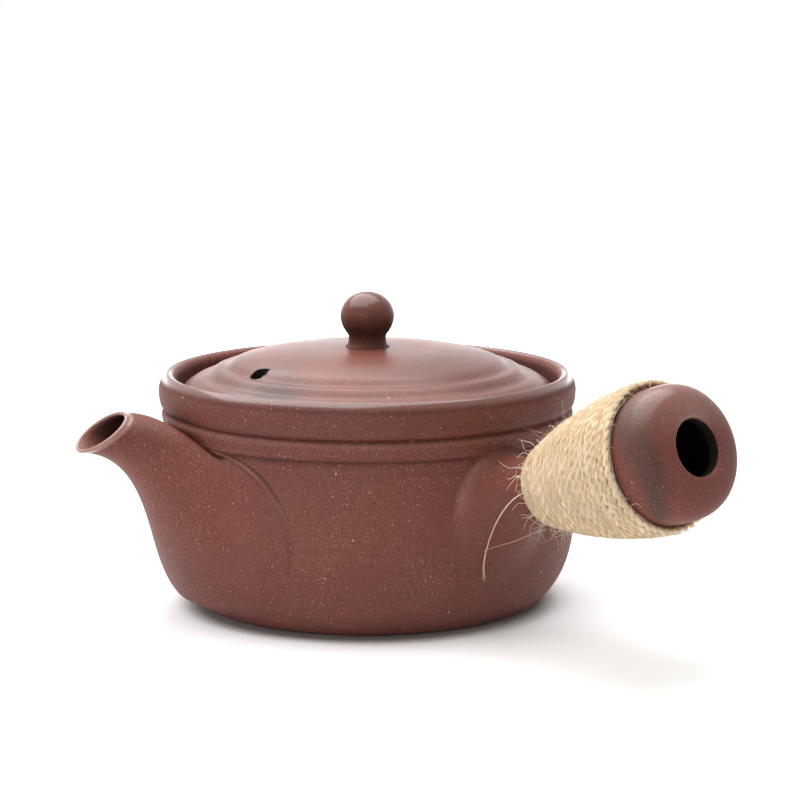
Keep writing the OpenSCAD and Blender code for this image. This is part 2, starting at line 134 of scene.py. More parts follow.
def skinned(name, rings, material, ends="capped", sharp=50):
    """A smooth mesh over rings of points, with its ends capped, or looped from the last ring to the first."""
    rows, columns = rings.shape[:2]
    row = np.arange(rows - (ends == "capped"))[:, None]
    column = np.arange(columns)[None, :]
    beside, above = (column + 1) % columns, (row + 1) % rows
    corners = [row * columns + column, row * columns + beside,
               above * columns + beside, above * columns + column]
    faces = np.stack(np.broadcast_arrays(*corners), -1).reshape(-1, 4).tolist()
    if ends == "capped":
        faces += [list(range(columns))[::-1], list(range((rows - 1) * columns, rows * columns))]
    mesh = bpy.data.meshes.new(name)
    mesh.from_pydata(rings.reshape(-1, 3).tolist(), [], faces)
    mesh.shade_smooth()
    mesh.set_sharp_from_angle(angle=math.radians(sharp))
    mesh.materials.append(material)
    piece = bpy.data.objects.new(name, mesh)
    bpy.context.scene.collection.objects.link(piece)
    return piece


def drilled(piece, start, end, radius):
    """Drills a round hole through a piece, from one point to another."""
    way = Vector(end) - Vector(start)
    circle = turned(np.array([[radius, 0], [radius, way.length]]), 48)
    bit = skinned("bit", circle, piece.data.materials[0])
    bit.matrix_world = Matrix.Translation(start) @ way.to_track_quat("Z", "Y").to_matrix().to_4x4()
    cut = piece.modifiers.new("hole", "BOOLEAN")
    cut.object = bit
    bpy.context.view_layer.update()
    whole = piece.evaluated_get(bpy.context.evaluated_depsgraph_get())
    mesh = bpy.data.meshes.new_from_object(whole)
    piece.modifiers.clear()
    piece.data = mesh
    mesh.set_sharp_from_angle(angle=math.radians(50))
    bpy.data.objects.remove(bit)


def linear(code):
    """A colour's sRGB hex code as linear red, green, blue and alpha."""
    parts = [int(code[i:i + 2], 16) / 255 for i in (1, 3, 5)]
    return [p / 12.92 if p <= 0.04045 else ((p + 0.055) / 1.055) ** 2.4 for p in parts] + [1]


def add(tree, kind, inputs=None, **settings):
    """Adds a node with its settings, and gives each named input a value or another node's output."""
    made = tree.nodes.new(kind)
    for key, value in settings.items():
        setattr(made, key, value)
    for key, value in (inputs or {}).items():
        if isinstance(value, bpy.types.NodeSocket):
            tree.links.new(value, made.inputs[key])
        else:
            made.inputs[key].default_value = value
    return made


def stoneware(name, clay, warm, smoke, smoke_share, sand, dry, satin, level, grit, streaks="round the wall",
              ring_depth=0):
    """Bare fired stoneware: a dry purple-brown body with pale sand in it, warmer and smoked patches from
    the kiln, faint rings from the wheel and a fine grain that spreads the light into a satin sheen. Its
    roughness runs from dry to satin, and its grit and rings have a height in millimetres."""
    material = bpy.data.materials.new(name)
    material.use_nodes = True
    tree = material.node_tree
    shader = tree.nodes["Principled BSDF"]
    place = add(tree, "ShaderNodeTexCoord").outputs["Object"]
    # kiln patches, about 40 mm across, then cloudy mottling of about 22 mm
    patch = add(tree, "ShaderNodeTexNoise", {"Vector": place, "Scale": 1 / (40 * MM), "Detail": 2.0})
    patch_share = add(tree, "ShaderNodeMapRange", {
        "Value": patch.outputs["Fac"], "From Min": 0.42, "From Max": 0.66})
    colour = add(tree, "ShaderNodeMix", {
        0: patch_share.outputs[0], 6: linear(clay), 7: linear(warm)}, data_type="RGBA")
    cloud = add(tree, "ShaderNodeTexNoise", {
        "Vector": place, "Scale": 1 / (22 * MM), "Detail": 5.0, "Roughness": 0.6})
    smoked = add(tree, "ShaderNodeMapRange", {
        "Value": cloud.outputs["Fac"], "From Min": 0.52, "From Max": 0.75, "To Max": smoke_share})
    colour = add(tree, "ShaderNodeMix", {
        0: smoked.outputs[0], 6: colour.outputs[2], 7: linear(smoke)}, data_type="RGBA")
    # smoke that the piece's own points ask for (on the lid partly painted shade), broken into wisps of about
    # 9 mm, and a paler tint where they ask for it, which is a painted highlight on edges and crests
    wisps = add(tree, "ShaderNodeTexNoise", {
        "Vector": place, "Scale": 1 / (9 * MM), "Detail": 3.0, "Distortion": 0.6})
    asked = add(tree, "ShaderNodeAttribute", attribute_name="smoked").outputs["Fac"]
    haze = add(tree, "ShaderNodeMath", {0: asked, 1: wisps.outputs["Fac"]}, operation="MULTIPLY")
    haze = add(tree, "ShaderNodeMapRange", {
        "Value": haze.outputs[0], "From Min": 0.1, "From Max": 0.5, "To Max": 0.8})
    colour = add(tree, "ShaderNodeMix", {
        0: haze.outputs[0], 6: colour.outputs[2], 7: linear("#4c3631")}, data_type="RGBA")
    burnished = add(tree, "ShaderNodeAttribute", attribute_name="burnished").outputs["Fac"]
    worn = add(tree, "ShaderNodeAttribute", attribute_name="worn").outputs["Fac"]
    # painted highlight: the paler tint that the points' worn value asks for
    colour = add(tree, "ShaderNodeMix", {
        0: worn, 6: colour.outputs[2], 7: linear("#b58a7d")}, data_type="RGBA")
    # marks of the wheel: streaks about 1.6 mm apart that run round the axis and come and go in a quarter turn
    flat = add(tree, "ShaderNodeVectorMath", {0: place, 1: (1, 1, 0)}, operation="MULTIPLY").outputs["Vector"]
    out_way = add(tree, "ShaderNodeVectorMath", {0: flat}, operation="NORMALIZE").outputs["Vector"]
    if streaks == "round the face":
        across = add(tree, "ShaderNodeVectorMath", {0: flat}, operation="LENGTH").outputs["Value"]
    else:
        across = add(tree, "ShaderNodeSeparateXYZ", {0: place}).outputs["Z"]
    along_wheel = add(tree, "ShaderNodeMath", {0: across, 1: 1 / (1.6 * MM)}, operation="MULTIPLY")
    row_of_wheel = add(tree, "ShaderNodeCombineXYZ", {"Z": along_wheel.outputs[0]})
    wheel_place = add(tree, "ShaderNodeVectorMath", {
        0: out_way, 1: (0.9, 0.9, 0), 2: row_of_wheel.outputs[0]}, operation="MULTIPLY_ADD")
    wheel = add(tree, "ShaderNodeTexNoise", {
        "Vector": wheel_place.outputs["Vector"], "Scale": 1.0, "Detail": 2.0})
    # grain of the clay, 0.7 mm: darker and lighter specks that also roughen the skin
    grain = add(tree, "ShaderNodeTexNoise", {
        "Vector": place, "Scale": 1 / (0.7 * MM), "Detail": 4.0, "Roughness": 0.8})
    speckle = add(tree, "ShaderNodeMapRange", {
        "Value": grain.outputs["Fac"], "From Min": 0.3, "From Max": 0.7, "To Min": 0.7, "To Max": 1.26})
    streaked = add(tree, "ShaderNodeMapRange", {
        "Value": wheel.outputs["Fac"], "From Min": 0.3, "From Max": 0.7,
        "To Min": 1 - 3 * ring_depth, "To Max": 1 + 3 * ring_depth})
    shade = add(tree, "ShaderNodeMath", {0: speckle.outputs[0], 1: streaked.outputs[0]}, operation="MULTIPLY")
    colour = add(tree, "ShaderNodeMix", {0: 1.0, 6: colour.outputs[2], 7: shade.outputs[0]}, data_type="RGBA",
                 blend_type="MULTIPLY")
    # pale sand in drifts of about 14 mm: fine grains, coarser ones further apart, and a few bright ones, by
    # their gap and size in millimetres; rubbing presses most of them in
    drift = add(tree, "ShaderNodeTexNoise", {"Vector": place, "Scale": 1 / (14 * MM), "Detail": 2.0})
    drift = add(tree, "ShaderNodeMapRange", {
        "Value": drift.outputs["Fac"], "From Min": 0.33, "From Max": 0.68, "To Max": sand})
    bare = add(tree, "ShaderNodeMath", {0: 1.0, 1: burnished}, operation="SUBTRACT", use_clamp=True)
    drift = add(tree, "ShaderNodeMath", {0: drift.outputs[0], 1: bare.outputs[0]}, operation="MULTIPLY")
    for gap, size, share, tint in (
        (0.5, 0.15, 1.3, "#bc8c72"), (1.2, 0.2, 1.0, "#e2b290"), (4.0, 0.28, 1.1, "#fff2e4"),
    ):
        cell = add(tree, "ShaderNodeTexVoronoi", {"Vector": place, "Scale": 1 / (gap * MM)})
        dot = add(tree, "ShaderNodeMapRange", {
            "Value": cell.outputs["Distance"], "From Min": size / gap, "From Max": 0.5 * size / gap})
        chance = add(tree, "ShaderNodeSeparateColor", {"Color": cell.outputs["Color"]}).outputs
        odds = add(tree, "ShaderNodeMath", {0: drift.outputs[0], 1: share}, operation="MULTIPLY")
        kept = add(tree, "ShaderNodeMath", {0: chance["Red"], 1: odds.outputs[0]}, operation="LESS_THAN")
        faint = add(tree, "ShaderNodeMath", {0: dot.outputs[0], 1: kept.outputs[0]}, operation="MULTIPLY")
        bright = add(tree, "ShaderNodeMath", {0: faint.outputs[0], 1: chance["Green"]}, operation="MULTIPLY")
        colour = add(tree, "ShaderNodeMix", {
            0: bright.outputs[0], 6: colour.outputs[2], 7: linear(tint)}, data_type="RGBA")
    # near-black where the piece's own points ask for it, over all the rest: mostly painted shade in holes,
    # hollows, creases and under things
    dark_and_painted_shade = add(tree, "ShaderNodeAttribute", attribute_name="dark_and_painted_shade").outputs["Fac"]
    colour = add(tree, "ShaderNodeMix", {
        0: dark_and_painted_shade, 6: colour.outputs[2], 7: linear("#0f0706")}, data_type="RGBA")
    # heights in millimetres: the marks of the wheel with the grain over them
    ring_height = add(tree, "ShaderNodeMath", {0: wheel.outputs["Fac"], 1: ring_depth}, operation="MULTIPLY")
    height = add(tree, "ShaderNodeMath", {
        0: grain.outputs["Fac"], 1: grit, 2: ring_height.outputs[0]}, operation="MULTIPLY_ADD")
    bump = add(tree, "ShaderNodeBump", {"Strength": 1.0, "Distance": MM, "Height": height.outputs[0]})
    # rubbing leaves a hard polish over the clay, and where it is painted dark it is dead matt
    rough = add(tree, "ShaderNodeMapRange", {
        "Value": cloud.outputs["Fac"], "From Min": 0.3, "From Max": 0.7, "To Min": dry, "To Max": satin})
    rough = add(tree, "ShaderNodeMix", {0: burnished, 2: rough.outputs[0], 3: 0.18})
    rough = add(tree, "ShaderNodeMix", {0: dark_and_painted_shade, 2: rough.outputs[0], 3: 0.95})
    tree.links.new(burnished, shader.inputs["Coat Weight"])
    shader.inputs["Coat Roughness"].default_value = 0.14
    tree.links.new(colour.outputs[2], shader.inputs["Base Color"])
    tree.links.new(rough.outputs[0], shader.inputs["Roughness"])
    tree.links.new(bump.outputs["Normal"], shader.inputs["Normal"])
    shader.inputs["IOR"].default_value = 1.5
    shader.inputs["Specular IOR Level"].default_value = level
    return material


pot_clay = stoneware("bare stoneware, thrown pot", clay="#76453d", warm="#794539", smoke="#6d5049",
                     smoke_share=0.35, sand=1, dry=0.64, satin=0.52, level=0.22, grit=0.06, ring_depth=0.02)
pot = skinned("pot_body_clay", turned(pot_profile, 224), pot_clay)
drilled(pot, (-40 * MM, 0, POUR_HOLE_Z), (-80 * MM, 0, POUR_HOLE_Z), POUR_HOLE_R)


def marked(piece, name, values):
    """Gives each point of a piece a value that its clay reads, such as how smoked it is."""
    layer = piece.data.attributes.new(name, "FLOAT", "POINT")
    layer.data.foreach_set("value", np.ravel(values).astype(float))


# the lip's crest is rubbed shiny by the lid and by hands, and the clay just below it is darker; painted shade
# darkens the band and collar a little, the crease under the band and the seat inside the lip, and a paler
# tint on the band's crest is a painted highlight
corners = np.array([v.co for v in pot.data.vertices])
from_axis, above = np.hypot(corners[:, 0], corners[:, 1]), corners[:, 2]
outer_side = from_axis > CREST_R - 0.6 * MM
marked(pot, "burnished", (from_axis > CREST_R - 1.5 * MM) * fading(above - (RIM_Z - 0.8 * MM), 0.9 * MM))
# darker just under the lip, and painted shade over the band and the collar
lip_band_and_painted_collar_shade = 0.25 * fading(above - (RIM_Z - 2.5 * MM), 0.8 * MM)
lip_band_and_painted_collar_shade += 0.13 * np.clip((above - NECK_Z) / (GROOVE_Z - NECK_Z), 0, 1)
# painted shade in the crease under the band, and on the seat inside the lip
painted_crease_shade = 0.45 * fading(above - NECK_Z - 0.1 * MM, 0.5 * MM)
painted_seat_shade = 0.5 * np.clip((RIM_Z - 1.6 * MM - above) / (1 * MM), 0, 1) * (above > SEAT_Z - 1 * MM)
marked(pot, "dark_and_painted_shade", np.where(outer_side, lip_band_and_painted_collar_shade, painted_seat_shade) + (from_axis > NECK_R - 1 * MM) * painted_crease_shade)
# painted highlight: a paler tint on the band's crest
marked(pot, "worn", outer_side * 0.14 * fading(above - (GROOVE_Z - 1.5 * MM), 0.9 * MM))
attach(pot, "pot")
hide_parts("pot_body")

# Spout: pressed from a sheet of the same clay, flared where it is luted over the pouring hole and cut
# off at a slope at its mouth. Its seam is wiped smooth below, and stands up as a thin bead above.
ROOT_HALF, ROOT_TOP, ROOT_FOOT, ROOT_WIDE_H = math.radians(41.5), 52.1 * MM, 2 * MM, 20 * MM
ROOT_SQUARE, ROOT_SQUARE_TOP = 2.5, 3
MOUTH_X, MOUTH_Z, MOUTH_R, MOUTH_LIP_T, ROOT_T = 84.3 * MM, 57.3 * MM, 7.7 * MM, 1.2 * MM, 3.2 * MM
MOUTH_SLOPE, MOUTH_AIM = math.radians(35), math.radians(5)
ROOT_TILT = np.radians([27, 24, 32])
ROOT_PULL, MOUTH_PULL = np.array([13, 2.3, 17]) * MM, np.array([26, 16, 28]) * MM
SEAM_BEAD = 1.2 * MM
SPOUT_ROOT_ROWS, SPOUT_SKIN_ROWS, SPOUT_INNER_ROWS, SPOUT_COLUMNS = 20, 55, 40, 192
side_z, side_r = pot_side[2:, 1], pot_side[2:, 0]
outer = side_z < COLLAR_Z


def wall_r(z):
    """Radius of the pot's outside at a height."""
    return np.interp(z, side_z[outer], side_r[outer])


def on_wall(angle, z):
    """Points of the pot's outside, at angles round it and heights."""
    return np.stack([wall_r(z) * np.cos(angle), wall_r(z) * np.sin(angle), z], -1)


def unit(v):
    """Vectors of length 1 along those given."""
    return v / np.linalg.norm(v, axis=-1, keepdims=True)


def eased_root(base, lead, centre, width, rows):
    """Rows of points that ease a luted piece off the wall, from a ring on the wall to its lead ring."""
    angle, z = np.arctan2(base[:, 1], base[:, 0]), base[:, 2]
    swing = (angle - centre[0] + math.pi) % (2 * math.pi) - math.pi
    away = unit(np.stack([swing * BELLY_R, z - centre[1]], 1)) * width[:, None]
    foot = on_wall(angle + away[:, 0] / BELLY_R, np.maximum(z + away[:, 1], 0.6 * MM))
    foot[:, :2] *= 1 - 0.1 * MM / BELLY_R
    t = np.linspace(0, 1, rows)[:, None, None]
    return (1 - t) ** 2 * foot + 2 * t * (1 - t) * base + t**2 * lead


def by_side(values, a):
    """A value that runs from the spout's sides to its top and its bottom."""
    return values[0] + (np.where(np.sin(a) > 0, values[1], values[2]) - values[0]) * np.sin(a) ** 2


def spout_skin(a, t):
    """Points of the spout's outside: a cubic curve at each angle a round it, from the wall to the mouth."""
    square = np.where(np.sin(a) > 0, ROOT_SQUARE_TOP, ROOT_SQUARE)
    p = ROOT_HALF * np.sign(np.cos(a)) * np.abs(np.cos(a)) ** (2 / square)
    half = np.where(np.sin(a) > 0, ROOT_TOP - ROOT_WIDE_H, ROOT_WIDE_H - ROOT_FOOT)
    z = ROOT_WIDE_H + half * np.sign(np.sin(a)) * np.abs(np.sin(a)) ** (2 / square)
    slope = (wall_r(z + 0.5 * MM) - wall_r(z - 0.5 * MM)) / MM
    normal = unit(np.stack([np.cos(p), np.sin(p), -slope], -1))
    across = np.stack([-np.sin(p), np.cos(p), 0 * p], -1)
    up = np.cross(normal, across)
    tilt = by_side(ROOT_TILT, a)[..., None]
    outward = unit(np.cos(a)[..., None] * across + np.sin(a)[..., None] * up)
    lead = np.sin(tilt) * normal - np.cos(tilt) * outward
    p0 = on_wall(p, z)
    p3 = mouth_ring(a, MOUTH_R + MOUTH_LIP_T)
    p1 = p0 + by_side(ROOT_PULL, a)[..., None] * lead
    p2 = p3 - by_side(MOUTH_PULL, a)[..., None] * np.array([math.cos(MOUTH_AIM), 0, math.sin(MOUTH_AIM)])
    s = 1 - t
    return s**3 * p0 + 3 * s**2 * t * p1 + 3 * s * t**2 * p2 + t**3 * p3


def mouth_ring(a, r):
    """Points round the mouth at radius r, on its sloping plane."""
    down = np.array([math.cos(MOUTH_SLOPE), 0, -math.sin(MOUTH_SLOPE)])
    centre = np.array([MOUTH_X, 0, MOUTH_Z])
    return centre + (r * np.cos(a))[..., None] * np.array([0, 1, 0]) - (r * np.sin(a))[..., None] * down


around = np.linspace(0, 2 * math.pi, SPOUT_COLUMNS, endpoint=False)
from_top = np.abs(np.degrees(around) - 90)
# bead along the upper edge on both sides, strongest half-way up, where the seam isn't wiped down
bead = np.exp(-0.5 * ((from_top - 42) / 17) ** 2)
ease = np.interp(from_top, [0, 30, 60, 90, 180], [1.2, 2.6, 2.6, 6, 6]) * MM
lead_t = np.interp(from_top, [0, 30, 60, 90, 180], [0.06, 0.07, 0.1, 0.16, 0.16])
base_ring = spout_skin(around, 0.0)
lead_ring = spout_skin(around, lead_t[:, None])
root_rows = eased_root(base_ring, lead_ring, (0, ROOT_WIDE_H), ease, SPOUT_ROOT_ROWS)
from_wall = np.linspace(0, 1, SPOUT_ROOT_ROWS)
bead_shape = np.exp(-0.5 * ((from_wall - 0.26) / 0.085) ** 2)
root_rows += (bead_shape[:, None] * bead * SEAM_BEAD)[..., None] * unit(base_ring * [1, 1, 0])
steps = np.linspace(0, 1, SPOUT_SKIN_ROWS + 1)[1:]
skin_rows = np.stack([spout_skin(around, (lead_t + (1 - lead_t) * t)[:, None]) for t in steps])
lip_normal = np.array([math.sin(MOUTH_SLOPE), 0, math.cos(MOUTH_SLOPE)])
lip_rows = np.stack([mouth_ring(around, MOUTH_R + MOUTH_LIP_T / 2 * (1 + math.cos(b)))
                     + MOUTH_LIP_T / 2 * math.sin(b) * lip_normal for b in np.linspace(0, math.pi, 10)[1:-1]])
inner_t = np.linspace(1, 0, SPOUT_INNER_ROWS)
inner_rows = []
for t in inner_t:
    spread = np.stack([spout_skin(around + d, t) for d in (-0.02, 0.02)])
    along = spout_skin(around, min(t + 0.01, 1)) - spout_skin(around, max(t - 0.01, 0))
    inward = unit(np.cross(along, spread[1] - spread[0])) * (ROOT_T + (MOUTH_LIP_T - ROOT_T) * t)
    at_lip = mouth_ring(around, MOUTH_R) - mouth_ring(around, MOUTH_R + MOUTH_LIP_T)
    u = min(max((t - 0.5) / 0.5, 0), 1)
    row = spout_skin(around, t) + inward + (at_lip - inward) * u * u * (3 - 2 * u)
    wall = wall_r(row[:, 2])
    flat = np.linalg.norm(row[:, :2], axis=1)
    row[:, :2] *= (np.maximum(flat, wall) / flat)[:, None]
    inner_rows.append(row)
spout_rings = np.concatenate([root_rows, skin_rows, lip_rows, np.stack(inner_rows)])
spout_rings[..., :2] *= -1
spout_clay = stoneware("bare stoneware, pressed spout", clay="#76443c", warm="#794338", smoke="#6d5049",
                       smoke_share=0.3, sand=1, dry=0.64, satin=0.52, level=0.22, grit=0.06)
spout = skinned("spout_clay", spout_rings, spout_clay, "looped")
# painted shade darkens the inside behind the lip, most under the top, and lies in the crack above the bead
# and faintly where the seam is wiped; the bead and the lip are rubbed smooth and glossy, and their paler tint
# is a painted highlight
painted_inner_shade = np.clip((0.995 - inner_t) / 0.05, 0, 1)[:, None] * np.clip(0.55 + 0.5 * np.sin(around), 0.1, 1)
painted_wiped_seam_shade = 0.22 * np.exp(-0.5 * ((from_top - 92) / 24) ** 2)
painted_seam_shade = 0.85 * np.exp(-0.5 * (from_wall / 0.1) ** 2)[:, None] * bead
painted_seam_shade += np.exp(-0.5 * ((from_wall - 0.36) / 0.08) ** 2)[:, None] * painted_wiped_seam_shade
plain = np.zeros((len(skin_rows) + len(lip_rows), SPOUT_COLUMNS))
marked(spout, "dark_and_painted_shade", np.concatenate([painted_seam_shade, plain, painted_inner_shade]))
polish_and_painted_highlight = np.zeros((len(spout_rings), SPOUT_COLUMNS))
polish_and_painted_highlight[:SPOUT_ROOT_ROWS] = 0.18 * bead_shape[:, None] * bead
lip_start = SPOUT_ROOT_ROWS + SPOUT_SKIN_ROWS
polish_and_painted_highlight[lip_start - 2:lip_start + len(lip_rows) + 1] = 0.6
marked(spout, "burnished", polish_and_painted_highlight)
marked(spout, "worn", polish_and_painted_highlight)
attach(spout, "pot")
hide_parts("spout")

# Strainer: a pierced dome of clay luted inside the pot behind the pouring hole, which keeps the leaves
# in. It is left as it came off its mould, so it has the clay's grain and no rings.
strainer_clay = stoneware("bare stoneware, moulded strainer", clay="#75463d", warm="#7a4539", smoke="#6d524b",
                          smoke_share=0.4, sand=0.6, dry=0.64, satin=0.52, level=0.22, grit=0.06)
strainer = frame["nodes"]["spout_strainer"]
strainer.data.materials.clear()
strainer.data.materials.append(strainer_clay)

# Handle: a hollow club thrown off the hump and luted on a quarter turn from the spout, flared at its
# root and rounded at its far end round an open hole. Smoke from the kiln greyed its end.
mount = next(m for m in frame["record"]["mounts"] if m["name"] == "handle_end")
END_HOLE_R, END_HOLE_LEN = mount["dims"]["r_mm"] * MM, mount["dims"]["length_mm"] * MM
axis = unit(np.array(mount["axis"]))
hole_middle = np.array(mount["pos_m"])
station = np.linalg.norm(hole_middle[:2]) / np.linalg.norm(axis[:2])
axis_foot = hole_middle - station * axis
GRIP_S0, GRIP_S1, CAP_LEN, CAP_SQUARE = 83.32 * MM, 130.32 * MM, 12.6 * MM, 3.9
GRIP_R0, GRIP_R1, GRIP_SWELL, HANDLE_T, END_LIP = 8.4 * MM, 18.5 * MM, 2.4 * MM, 3 * MM, 1.2 * MM
FLARE_R, FLARE_S, FLARE_POWER = 16 * MM, 61.22 * MM, 1.8
ROOT_EASE, LOW_EASE, ROOT_RIDGE = 3 * MM, 5.4 * MM, 0.7 * MM
HANDLE_COLUMNS, HANDLE_ROOT_ROWS = 160, 14
down_way = unit(np.array([0, 0, -1.0]) + axis[2] * axis)
side_way = np.cross(axis, down_way)


def at_handle(r, a, s):
    """Points at radius r, angle a from the underside and station s of the handle."""
    out = np.cos(a)[..., None] * down_way + np.sin(a)[..., None] * side_way
    return axis_foot + s[..., None] * axis + r[..., None] * out


def grip_r(s):
    """Radius of the clay under the twine."""
    t = (s - GRIP_S0) / (GRIP_S1 - GRIP_S0)
    return GRIP_R0 + (GRIP_R1 - GRIP_R0) * t + 4 * GRIP_SWELL * t * (1 - t)


def flare_r(s):
    """Radius of the flare between the twine and the wall."""
    return GRIP_R0 + (FLARE_R - GRIP_R0) * (np.maximum(GRIP_S0 - s, 0) / (GRIP_S0 - FLARE_S)) ** FLARE_POWER


def meets_wall(a, inset):
    """Stations at which the flare, drawn in by an inset, comes out of the pot's wall."""
    low, high = np.full(a.shape, FLARE_S - 8 * MM), np.full(a.shape, GRIP_S0)
    for _ in range(30):
        middle = (low + high) / 2
        p = at_handle(flare_r(middle) - inset, a, middle)
        sunk = np.hypot(p[:, 0], p[:, 1]) < wall_r(p[:, 2])
        low, high = np.where(sunk, middle, low), np.where(sunk, high, middle)
    return high


handle_turn = np.linspace(0, 2 * math.pi, HANDLE_COLUMNS, endpoint=False)
root_s = meets_wall(handle_turn, 0)
base_ring = at_handle(flare_r(root_s), handle_turn, root_s)
lead_s = root_s + 0.35 * (GRIP_S0 - root_s)
lead_ring = at_handle(flare_r(lead_s), handle_turn, lead_s)
root_centre = math.atan2(axis[1], axis[0]), axis_foot[2] + axis[2] * BELLY_R / np.hypot(*axis[:2])
ease = ROOT_EASE + LOW_EASE * np.clip(np.cos(handle_turn), 0, 1)
root_rows = eased_root(base_ring, lead_ring, root_centre, ease, HANDLE_ROOT_ROWS)
# a low ridge of pressed clay stands on the spout's side of the root
pressed = fading(np.degrees(handle_turn) - 242, 36)
ridge = np.exp(-0.5 * ((np.linspace(0, 1, HANDLE_ROOT_ROWS) - 0.4) / 0.13) ** 2)[:, None] * pressed
root_rows += (ridge * ROOT_RIDGE)[..., None] * unit(base_ring * [1, 1, 0])
rows = [*root_rows]
for t in np.linspace(0, 1, 10)[1:]:
    s = lead_s + (GRIP_S0 - lead_s) * t
    rows.append(at_handle(flare_r(s), handle_turn, s))
full = np.ones(HANDLE_COLUMNS)
for s in np.linspace(GRIP_S0, GRIP_S1, 30)[1:]:
    rows.append(at_handle(grip_r(s) * full, handle_turn, s * full))
end_row = len(rows) - 2
stop = math.acos(((END_HOLE_R + END_LIP) / GRIP_R1) ** (CAP_SQUARE / 2))
for b in np.linspace(0, stop, 28)[1:]:
    r, s = GRIP_R1 * math.cos(b) ** (2 / CAP_SQUARE), GRIP_S1 + CAP_LEN * math.sin(b) ** (2 / CAP_SQUARE)
    rows.append(at_handle(r * full, handle_turn, s * full))
edge_s = s - END_LIP
for b in np.linspace(math.pi / 2, math.pi, 9)[1:]:
    rows.append(at_handle((END_HOLE_R + END_LIP + END_LIP * math.cos(b)) * full, handle_turn,
                          (edge_s + END_LIP * math.sin(b)) * full))
hole_row = len(rows) - 2
hollow_r, hole_s = GRIP_R1 - HANDLE_T, edge_s - END_HOLE_LEN
share = (1 - (END_HOLE_R / hollow_r) ** CAP_SQUARE) ** (1 / CAP_SQUARE)
stop = math.acos((END_HOLE_R / hollow_r) ** (CAP_SQUARE / 2))
for b in np.linspace(stop, 0, 16):
    r = hollow_r * math.cos(b) ** (2 / CAP_SQUARE)
    s = GRIP_S1 + (hole_s - GRIP_S1) / share * math.sin(b) ** (2 / CAP_SQUARE)
    rows.append(at_handle(r * full, handle_turn, s * full))
for s in np.linspace(GRIP_S1, GRIP_S0, 16)[1:]:
    rows.append(at_handle((grip_r(s) - HANDLE_T) * full, handle_turn, s * full))
inner_s = meets_wall(handle_turn, HANDLE_T)
for t in np.linspace(0, 1, 8)[1:]:
    s = GRIP_S0 + (inner_s - GRIP_S0) * t
    rows.append(at_handle(flare_r(s) - HANDLE_T, handle_turn, s))
handle_clay = stoneware("bare stoneware, smoked handle", clay="#74433b", warm="#794338", smoke="#664c46",
                        smoke_share=0.4, sand=0.25, dry=0.62, satin=0.5, level=0.24, grit=0.04)
handle_rings = np.stack(rows)
handle = skinned("handle_clay", handle_rings, handle_clay, "looped")
# smoke drew a band across the flame's side of the rounded end; the hollow is painted black, and the crease
# over the root dark, as painted shade
SMOKE_TURN = np.radians([216, 226, 240, 255, 270, 288, 301, 314, 325])
SMOKE_AT = np.array([1.5, 4, 6, 7, 8.7, 9, 8.3, 6.2, 3.5]) * MM
SMOKE_WIDE = np.array([11, 9, 7, 6.5, 4]) * MM
flame_a = np.linspace(SMOKE_TURN[0], SMOKE_TURN[-1], 60)
flame_s = np.interp(flame_a, SMOKE_TURN, SMOKE_AT)
flame_r = GRIP_R1 * (1 - (flame_s / CAP_LEN) ** CAP_SQUARE) ** (1 / CAP_SQUARE)
flame = at_handle(flame_r, flame_a, GRIP_S1 + flame_s)
flame_wide = np.interp(flame_a, SMOKE_TURN[::2], SMOKE_WIDE)
far = np.min(np.linalg.norm(handle_rings[:, :, None] - flame, axis=-1) / flame_wide, axis=-1)
marked(handle, "smoked", np.clip(1.15 - far, 0, 1))
row_number = np.repeat(np.arange(len(rows)), HANDLE_COLUMNS)
upward = np.tile(np.clip(-np.cos(handle_turn), 0, 1), len(rows))
painted_crease_shade = 0.45 * upward**1.5 * np.clip(1 - row_number / (HANDLE_ROOT_ROWS + 1), 0, 1)
marked(handle, "dark_and_painted_shade", np.maximum(row_number > hole_row, painted_crease_shade))
# hands have rubbed the ridge, and the upper side of the rounded end, smooth and glossy; their paler tint is a
# painted highlight
end_polish_and_painted_highlight = upward**2 * (row_number > end_row)
ridge_polish_and_painted_highlight = np.concatenate([ridge.ravel(), np.zeros(len(row_number) - ridge.size)])
marked(handle, "burnished", 0.45 * end_polish_and_painted_highlight + 0.2 * ridge_polish_and_painted_highlight)
marked(handle, "worn", 0.28 * end_polish_and_painted_highlight + 0.16 * ridge_polish_and_painted_highlight)
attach(handle, "pot")
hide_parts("handle")

# Twine: one length of two-ply jute, wound tight round the grip from the pot to the rounded end, turn
# against turn, with its ends tucked under on the far side. It keeps heat off the hand.
TWINE_D, TWINE_TURNS, TWINE_LAY = 2.4 * MM, 18, 5.6 * MM
TWINE_START = math.radians(105)
PLY_R, PLY_OFF, PLY_SIDES = 0.75 * MM, 0.45 * MM, 8
TWINE_STEP, TWINE_LIFT = 0.8 * MM, 0.48 * TWINE_D
rng = np.random.default_rng(7)


def winding(n):
    """Centre, run, outward and sideways directions of the twine after n turns."""
    def centre(n):
        step = (GRIP_S1 - GRIP_S0 - TWINE_D) / TWINE_TURNS
        s = GRIP_S0 + TWINE_D / 2 + step * n
        lean = np.arctan((grip_r(s + 0.1 * MM) - grip_r(s - 0.1 * MM)) / (0.2 * MM))
        r = grip_r(s) + TWINE_LIFT * np.cos(lean)
        return at_handle(r, TWINE_START - 2 * math.pi * n, s - TWINE_LIFT * np.sin(lean))
    here = centre(n)
    run = unit(centre(n + 0.001) - centre(n - 0.001))
    out = here - axis_foot
    out = unit(out - (out @ axis)[..., None] * axis)
    out = unit(out - (out * run).sum(-1, keepdims=True) * run)
    return here, run, out, np.cross(run, out)


fine = np.linspace(0, TWINE_TURNS, 6000)
length = np.r_[0, np.cumsum(np.linalg.norm(np.diff(winding(fine)[0], axis=0), axis=1))]
twine_steps = np.linspace(0, length[-1], round(length[-1] / TWINE_STEP))
turns_at = np.interp(twine_steps, length, fine)
here, run, out, side = winding(turns_at)
